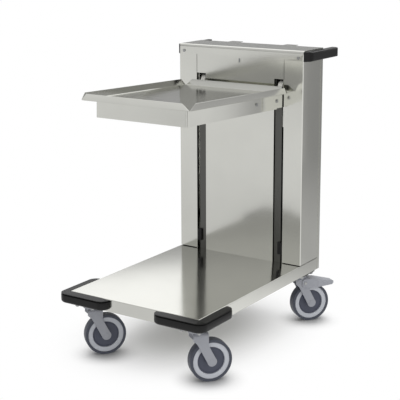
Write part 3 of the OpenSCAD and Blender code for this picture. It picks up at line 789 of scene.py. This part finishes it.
class TROLLEY_OT_lift(bpy.types.Operator):
    """Dresses the arms, the carriage and its rollers, and winds the lift springs"""

    bl_idname = "trolley.lift"
    bl_label = "Lift"

    def execute(self, context):
        for node in ("lift_arm_left", "lift_arm_right"):
            refine(node, "stainless", STEEL_EDGE)
        for node in ("carriage_beam", "spring_pull_bar"):
            refine(node, "zinc")
        refine("roller_pins", "bright_zinc", FASTENER_EDGE)
        roller_x, roller_y = 144, 251.5
        for side, space in SIDES.items():
            for level, roller_z in (("upper", 776), ("lower", 666)):
                axle = Matrix.Translation((roller_x, roller_y, roller_z))
                self.roller(f"roller_{level}_{side}", space @ axle)
            self.springs(context.scene.trolley_sizes, side, space)
        return {"FINISHED"}

    def roller(self, node, place):
        """A turned roller with a ring sunk into each face."""
        half, radius, bore = 8, 18, 5.05
        bm = bmesh.new()
        turned(bm, [
            (-half, bore), (-half, 8), (-7, 9), (-7, 13), (-half, 14), (-half, radius),
            (half, radius), (half, 14), (7, 13), (7, 9), (half, 8), (half, bore),
        ])  # fmt: skip
        round_rings(bm, [(-half, radius), (half, radius)], width=1.6)
        finish_piece(
            node + "_turned", bm, node, [node], "white_plastic", turn=30.0, space=place
        )

    def springs(self, sizes, side, space):
        """Five close-coiled springs with straight ends."""
        bottom, low, high, top = 653.0, 668.0, 851.0, 866.0
        first_x, *other_xs = 46, 70, 94, 118, 142
        row, outer = 325, 8.0
        wire = sizes.spring_wire / 2
        rise = (high - low - 2 * wire) / sizes.spring_coils
        steps = 12
        bm = bmesh.new()
        ring = bmesh.ops.create_circle(
            bm, cap_ends=False, radius=wire, segments=6,
            matrix=Matrix.Translation((outer - wire, row, low + wire))
            @ Matrix.Rotation(math.pi / 2, 4, "X"),
        )["verts"]  # fmt: skip
        loop = list({e for v in ring for e in v.link_edges})
        bmesh.ops.spin(
            bm, geom=ring + loop, cent=(0, row, low + wire), axis=(0, 0, 1),
            dvec=(0, 0, rise / steps), angle=math.tau * sizes.spring_coils,
            steps=steps * sizes.spring_coils, use_merge=False, use_duplicate=False,
        )  # fmt: skip
        for z0, z1 in ((bottom, low + 2), (high - 2, top)):
            bmesh.ops.create_cone(
                bm, cap_ends=True, segments=10, radius1=wire, radius2=wire,
                depth=z1 - z0, matrix=Matrix.Translation((0, row, (z0 + z1) / 2)),
            )  # fmt: skip
        bmesh.ops.recalc_face_normals(bm, faces=bm.faces[:])
        first = bm.verts[:] + bm.edges[:] + bm.faces[:]
        for x in other_xs:
            again = bmesh.ops.duplicate(bm, geom=first)["geom"]
            moved = [g for g in again if isinstance(g, bmesh.types.BMVert)]
            bmesh.ops.translate(bm, verts=moved, vec=(x, 0, 0))
        start = [g for g in first if isinstance(g, bmesh.types.BMVert)]
        bmesh.ops.translate(bm, verts=start, vec=(first_x, 0, 0))
        obj = new_object("springs_" + side, bm, space)
        obj.data.materials.append(FINISHES["spring_steel"])
        obj.data.shade_smooth()
        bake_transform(obj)
        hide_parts("lift_springs_" + side)


class TROLLEY_OT_plastics(bpy.types.Operator):
    """Dresses the push handles and the corner bumpers"""

    bl_idname = "trolley.plastics"
    bl_label = "Handles and bumpers"

    def execute(self, context):
        width = context.scene.trolley_sizes.moulded_edge
        for side in SIDES:
            refine("push_handle_" + side, "black_plastic", width)
            refine("bumper_" + side, "black_plastic", width)
        return {"FINISHED"}


class TROLLEY_OT_casters(bpy.types.Operator):
    """Turns the wheels and dresses the forks, axles and brakes"""

    bl_idname = "trolley.casters"
    bl_label = "Casters"

    def execute(self, context):
        for key, space in CASTERS.items():
            refine("fork_" + key, "caster_grey", CASTER_EDGE)
            refine("axle_" + key, "caster_grey", CASTER_EDGE)
            self.wheel(key, space @ Matrix.Translation((0, TRAIL, WHEEL_RADIUS)))
        for key in ("rl", "rr"):
            refine("pedal_" + key, "caster_grey", CASTER_EDGE)
            refine("brake_shoe_" + key, "rubber", CASTER_EDGE)
            refine("pedal_pin_" + key, "bright_zinc", FASTENER_EDGE)
        return {"FINISHED"}

    def wheel(self, key, place):
        """A dished centre, a light ring round it and a tyre with round shoulders."""
        body = "wheel_" + key
        bore, centre_r, ring_r, ring_half, tyre_half = 5.05, 40.4, 54.3, 13, 15
        bm = bmesh.new()
        turned(bm, [
            (-19.7, bore), (-19.7, 10.5), (-18.2, 12), (-9, 12.6), (-7.5, 15),
            (-7.5, 35), (-9, 37), (-9, centre_r), (9, centre_r), (9, 37), (7.5, 35),
            (7.5, 15), (9, 12.6), (18.2, 12), (19.7, 10.5), (19.7, bore),
        ])  # fmt: skip
        finish_piece(
            "centre_" + key, bm, body, ["hub_" + key], "wheel_blue",
            edge=FASTENER_EDGE, turn=30.0, space=place,
        )  # fmt: skip
        bm = bmesh.new()
        inner = [(-ring_half, centre_r), (ring_half, centre_r)]
        turned(bm, [inner[0], (-ring_half, ring_r), (ring_half, ring_r), inner[1]], 96)
        round_rings(bm, inner, width=1.2)
        finish_piece(
            "ring_" + key, bm, body, ["rim_" + key], "rim_grey",
            edge=0.3, turn=30.0, space=place,
        )  # fmt: skip
        bm = bmesh.new()
        tread = [(-tyre_half, WHEEL_RADIUS), (tyre_half, WHEEL_RADIUS)]
        turned(bm, [(-tyre_half, ring_r), *tread, (tyre_half, ring_r)], 96)
        round_rings(bm, tread, width=8.0, segments=8)
        finish_piece(
            "tread_" + key, bm, body, ["tyre_" + key], "tyre_blue",
            edge=FASTENER_EDGE, turn=30.0, space=place,
        )  # fmt: skip


# ---------------------------------------------------------------- stage


class TROLLEY_OT_stage(bpy.types.Operator):
    """Sets the pale floor, the soft studio light and the camera"""

    bl_idname = "trolley.stage"
    bl_label = "Stage"

    def execute(self, context):
        scene = context.scene
        scene.view_settings.view_transform = "Standard"
        self.floor()
        self.card()
        self.world(scene)
        self.softbox(scene)
        self.camera(scene)
        return {"FINISHED"}

    def stage_piece(self, name, bm):
        """A new object for the stage."""
        obj = new_object(name, bm)
        return obj

    def fading(self, tree, steps):
        """The product of soft steps: (value, low, high, tone at low, tone at high)."""
        product = None
        for value, low, high, start, end in steps:
            step = add(
                tree,
                "ShaderNodeMapRange",
                {
                    "interpolation_type": "SMOOTHSTEP",
                    "From Min": low,
                    "From Max": high,
                    "To Min": start,
                    "To Max": end,
                },
                {"Value": value},
            ).outputs[0]
            if product is not None:
                step = add(
                    tree,
                    "ShaderNodeMath",
                    {"operation": "MULTIPLY"},
                    {0: product, 1: step},
                ).outputs[0]
            product = step
        return product

    def floor(self):
        """A round matt floor, white to the camera but for the trolley's soft shadow,
        which is part real and part painted.
        """
        bm = bmesh.new()
        bmesh.ops.create_circle(bm, cap_ends=True, radius=40, segments=96)
        obj = self.stage_piece("studio_floor", bm)
        # Matt white board, which the steel sees as a glow in painted tones of a real
        # studio's light and shade: a painted reflection.
        material, tree, output = new_material("studio_floor")
        path = add(tree, "ShaderNodeLightPath")
        place = add(tree, "ShaderNodeTexCoord").outputs["Object"]
        # Its colour is painted darker in an oval below the trolley, and more so close to
        # the wheels: a painted shadow on top of the lamp's real one.
        oval = add(
            tree,
            "ShaderNodeMapping",
            {"Location": (0.32, -0.1, 0), "Scale": (3.3, 2.7, 1)},
            {0: place},
        )
        way_out = add(
            tree, "ShaderNodeVectorMath", {"operation": "LENGTH"}, {0: oval.outputs[0]}
        ).outputs["Value"]
        clear = [(way_out, 0.4, 1.5, 0.0, 1.0)]
        # The second list paints shade into the floor's own colour, a painted shadow.
        painted_shade = [(way_out, 0.0, 0.9, 0.66, 0.97)]
        for space in CASTERS.values():
            foot = space @ Vector((0, TRAIL, 0))
            gap = add(
                tree,
                "ShaderNodeVectorMath",
                {"operation": "DISTANCE", 1: foot},
                {0: place},
            ).outputs["Value"]
            # Near each wheel the white gives way and the colour is painted darker still:
            # a painted contact shadow.
            clear.append((gap, 0.03, 0.12, 0.0, 1.0))
            painted_shade.append((gap, 0.0, 0.085, 0.42, 1.0))
        shaded = add(
            tree, "ShaderNodeBsdfDiffuse", {}, {"Color": self.fading(tree, painted_shade)}
        )
        white = add(tree, "ShaderNodeEmission", {"Strength": 1.0})
        seen = add(
            tree,
            "ShaderNodeMixShader",
            {},
            {0: self.fading(tree, clear), 1: shaded.outputs[0], 2: white.outputs[0]},
        )
        plain = add(tree, "ShaderNodeBsdfDiffuse", {"Color": (*linear("#eaeaea"), 1)})
        mirrored = add(
            tree, "ShaderNodeEmission", {}, {"Strength": self.floor_tone(tree, place)}
        )
        bounced = add(
            tree,
            "ShaderNodeMixShader",
            {},
            {
                0: path.outputs["Is Glossy Ray"],
                1: plain.outputs[0],
                2: mirrored.outputs[0],
            },
        )
        mixed = add(
            tree,
            "ShaderNodeMixShader",
            {},
            {
                0: path.outputs["Is Camera Ray"],
                1: bounced.outputs[0],
                2: seen.outputs[0],
            },
        )
        tree.links.new(mixed.outputs[0], output.inputs[0])
        obj.data.materials.append(material)

    def floor_tone(self, tree, place):
        """How light the floor looks in the steel: darker behind and far in front."""
        axes = add(tree, "ShaderNodeSeparateXYZ", {}, {0: place})
        x, y = axes.outputs["X"], axes.outputs["Y"]
        tone = self.fading(tree, [
            (x, -0.4, 0.5, 0.72, 0.92),
            (y, -1.8, -0.9, 1.12, 1.0),
            (y, 0.25, 0.95, 1.0, 0.52),
            (y, 1.0, 3.0, 1.0, 0.62),
        ])  # fmt: skip
        patch = self.fading(tree, [
            (y, -6.0, -4.4, 1.0, 0.0),
            (x, -4.3, -3.4, 0.0, 0.42),
        ])  # fmt: skip
        rest = add(
            tree, "ShaderNodeMath", {"operation": "SUBTRACT", 0: 1.0}, {1: patch}
        )
        toned = add(
            tree,
            "ShaderNodeMath",
            {"operation": "MULTIPLY"},
            {0: tone, 1: rest.outputs[0]},
        )
        return toned.outputs[0]

    def card(self):
        """A pale card behind on the right, which only the steel mirrors: a glow that
        lights nothing, a painted reflection.
        """
        left, right, low, high, back = 0.76, 1.7, 0.3, 0.8, 1.2
        corners = ((left, low), (right, low), (right, high), (left, high))
        bm = bmesh.new()
        bm.faces.new([bm.verts.new((x, back, z)) for x, z in corners])
        obj = self.stage_piece("studio_card", bm)
        # Pale paper, painted as a glow that is brighter on its right.
        material, tree, output = new_material("studio_card")
        place = add(tree, "ShaderNodeTexCoord").outputs["Object"]
        axes = add(tree, "ShaderNodeSeparateXYZ", {}, {0: place})
        tone = add(
            tree,
            "ShaderNodeMapRange",
            {
                "interpolation_type": "SMOOTHSTEP",
                "From Min": 0.78,
                "From Max": 1.05,
                "To Min": 0.35,
                "To Max": 0.8,
            },
            {"Value": axes.outputs["X"]},
        )
        glow = add(tree, "ShaderNodeEmission", {}, {"Strength": tone.outputs[0]})
        tree.links.new(glow.outputs[0], output.inputs[0])
        obj.data.materials.append(material)
        obj.visible_camera = False
        obj.visible_diffuse = False
        obj.visible_shadow = False

    def world(self, scene):
        """White to the camera, even to matt things, and grey low down to the steel."""
        low_tone, matt_tone = 0.36, 0.95
        world = bpy.data.worlds.new("studio")
        scene.world = world
        world.use_nodes = True
        tree = world.node_tree
        tree.nodes.clear()
        path = add(tree, "ShaderNodeLightPath")
        around = add(tree, "ShaderNodeTexCoord").outputs["Generated"]
        way = add(tree, "ShaderNodeSeparateXYZ", {}, {0: around})
        above = add(
            tree,
            "ShaderNodeMapRange",
            {
                "interpolation_type": "SMOOTHSTEP",
                "From Min": -0.3,
                "From Max": 0.5,
                "To Min": 0.62,
                "To Max": 1.28,
            },
            {"Value": way.outputs["Y"]},
        )
        right = add(
            tree,
            "ShaderNodeMapRange",
            {
                "interpolation_type": "SMOOTHSTEP",
                "From Min": 0.0,
                "From Max": 0.4,
                "To Min": 0.0,
                "To Max": 0.16,
            },
            {"Value": way.outputs["X"]},
        )
        level = add(
            tree,
            "ShaderNodeMath",
            {"operation": "SUBTRACT"},
            {0: way.outputs["Z"], 1: right.outputs[0]},
        )
        height = add(
            tree,
            "ShaderNodeMapRange",
            {
                "interpolation_type": "SMOOTHSTEP",
                "From Min": 0.235,
                "From Max": 0.31,
            },
            {"Value": level.outputs[0]},
        )
        glossy = add(
            tree,
            "ShaderNodeMix",
            {"data_type": "FLOAT", 2: low_tone},
            {0: height.outputs[0], 3: above.outputs[0]},
        )
        strength = add(
            tree,
            "ShaderNodeMix",
            {"data_type": "FLOAT", 2: matt_tone},
            {0: path.outputs["Is Glossy Ray"], 3: glossy.outputs[0]},
        )
        light = add(
            tree,
            "ShaderNodeBackground",
            {"Color": (1, 1, 1, 1)},
            {"Strength": strength.outputs[0]},
        )
        white = add(tree, "ShaderNodeBackground", {"Color": (1, 1, 1, 1)})
        mixed = add(
            tree,
            "ShaderNodeMixShader",
            {},
            {
                0: path.outputs["Is Camera Ray"],
                1: light.outputs[0],
                2: white.outputs[0],
            },
        )
        output = add(tree, "ShaderNodeOutputWorld")
        tree.links.new(mixed.outputs[0], output.inputs[0])

    def softbox(self, scene):
        """A square lamp overhead that neither the camera nor the steel sees."""
        place, aim = Vector((-0.5, 0.3, 3.2)), Vector((0, 0, 0.3))
        data = bpy.data.lights.new("top_softbox", "AREA")
        data.shape = "SQUARE"
        data.size = 2.6
        data.energy = 30
        obj = bpy.data.objects.new("top_softbox", data)
        scene.collection.objects.link(obj)
        obj.location = place
        obj.rotation_euler = (aim - place).to_track_quat("-Z", "Y").to_euler()
        obj.visible_camera = False
        obj.visible_glossy = False

    def camera(self, scene):
        """The photograph's viewpoint: above the platform, from the front right."""
        yaw, pitch, roll = (math.radians(a) for a in CAMERA_ANGLES)
        ahead = Vector((
            -math.sin(yaw) * math.cos(pitch),
            math.cos(yaw) * math.cos(pitch),
            math.sin(pitch),
        ))  # fmt: skip
        right = Vector((math.cos(yaw), math.sin(yaw), 0))
        up = right.cross(ahead)
        right, up = (
            right * math.cos(roll) + up * math.sin(roll),
            up * math.cos(roll) - right * math.sin(roll),
        )
        data = bpy.data.cameras.new("camera")
        data.sensor_width = 36
        data.lens = CAMERA_LENS
        data.shift_x, data.shift_y = CAMERA_SHIFT
        obj = bpy.data.objects.new("camera", data)
        scene.collection.objects.link(obj)
        turn = Matrix((right, up, -ahead)).transposed()
        place = DECK @ Vector(CAMERA_PLACE)
        obj.matrix_world = Matrix.Translation(place) @ turn.to_4x4()
        scene.camera = obj


# ---------------------------------------------------------------- add-on


STEPS = (
    TROLLEY_OT_deck,
    TROLLEY_OT_tower,
    TROLLEY_OT_guides,
    TROLLEY_OT_platform,
    TROLLEY_OT_lift,
    TROLLEY_OT_plastics,
    TROLLEY_OT_casters,
    TROLLEY_OT_stage,
)


class TROLLEY_PT_panel(bpy.types.Panel):
    """Lists the steps and the settings"""

    bl_idname = "TROLLEY_PT_panel"
    bl_label = "Tray dispenser"
    bl_space_type = "VIEW_3D"
    bl_region_type = "UI"
    bl_category = "Tray dispenser"

    def draw(self, context):
        for step in STEPS:
            self.layout.operator(step.bl_idname)
        for group in (context.scene.trolley_sizes, context.scene.trolley_colours):
            box = self.layout.box()
            for key in group.__annotations__:
                box.prop(group, key)


CLASSES = (TrolleySizes, TrolleyColours, *STEPS, TROLLEY_PT_panel)


def register():
    for cls in CLASSES:
        bpy.utils.register_class(cls)
    bpy.types.Scene.trolley_sizes = PointerProperty(type=TrolleySizes)
    bpy.types.Scene.trolley_colours = PointerProperty(type=TrolleyColours)


def unregister():
    del bpy.types.Scene.trolley_colours
    del bpy.types.Scene.trolley_sizes
    for cls in reversed(CLASSES):
        bpy.utils.unregister_class(cls)


def main():
    """Builds every piece and the stage."""
    register()
    FINISHES.update(all_finishes())
    bpy.ops.trolley.deck()
    bpy.ops.trolley.tower()
    bpy.ops.trolley.guides()
    bpy.ops.trolley.platform()
    bpy.ops.trolley.lift()
    bpy.ops.trolley.plastics()
    bpy.ops.trolley.casters()
    bpy.ops.trolley.stage()


if __name__ == "__main__":
    main()
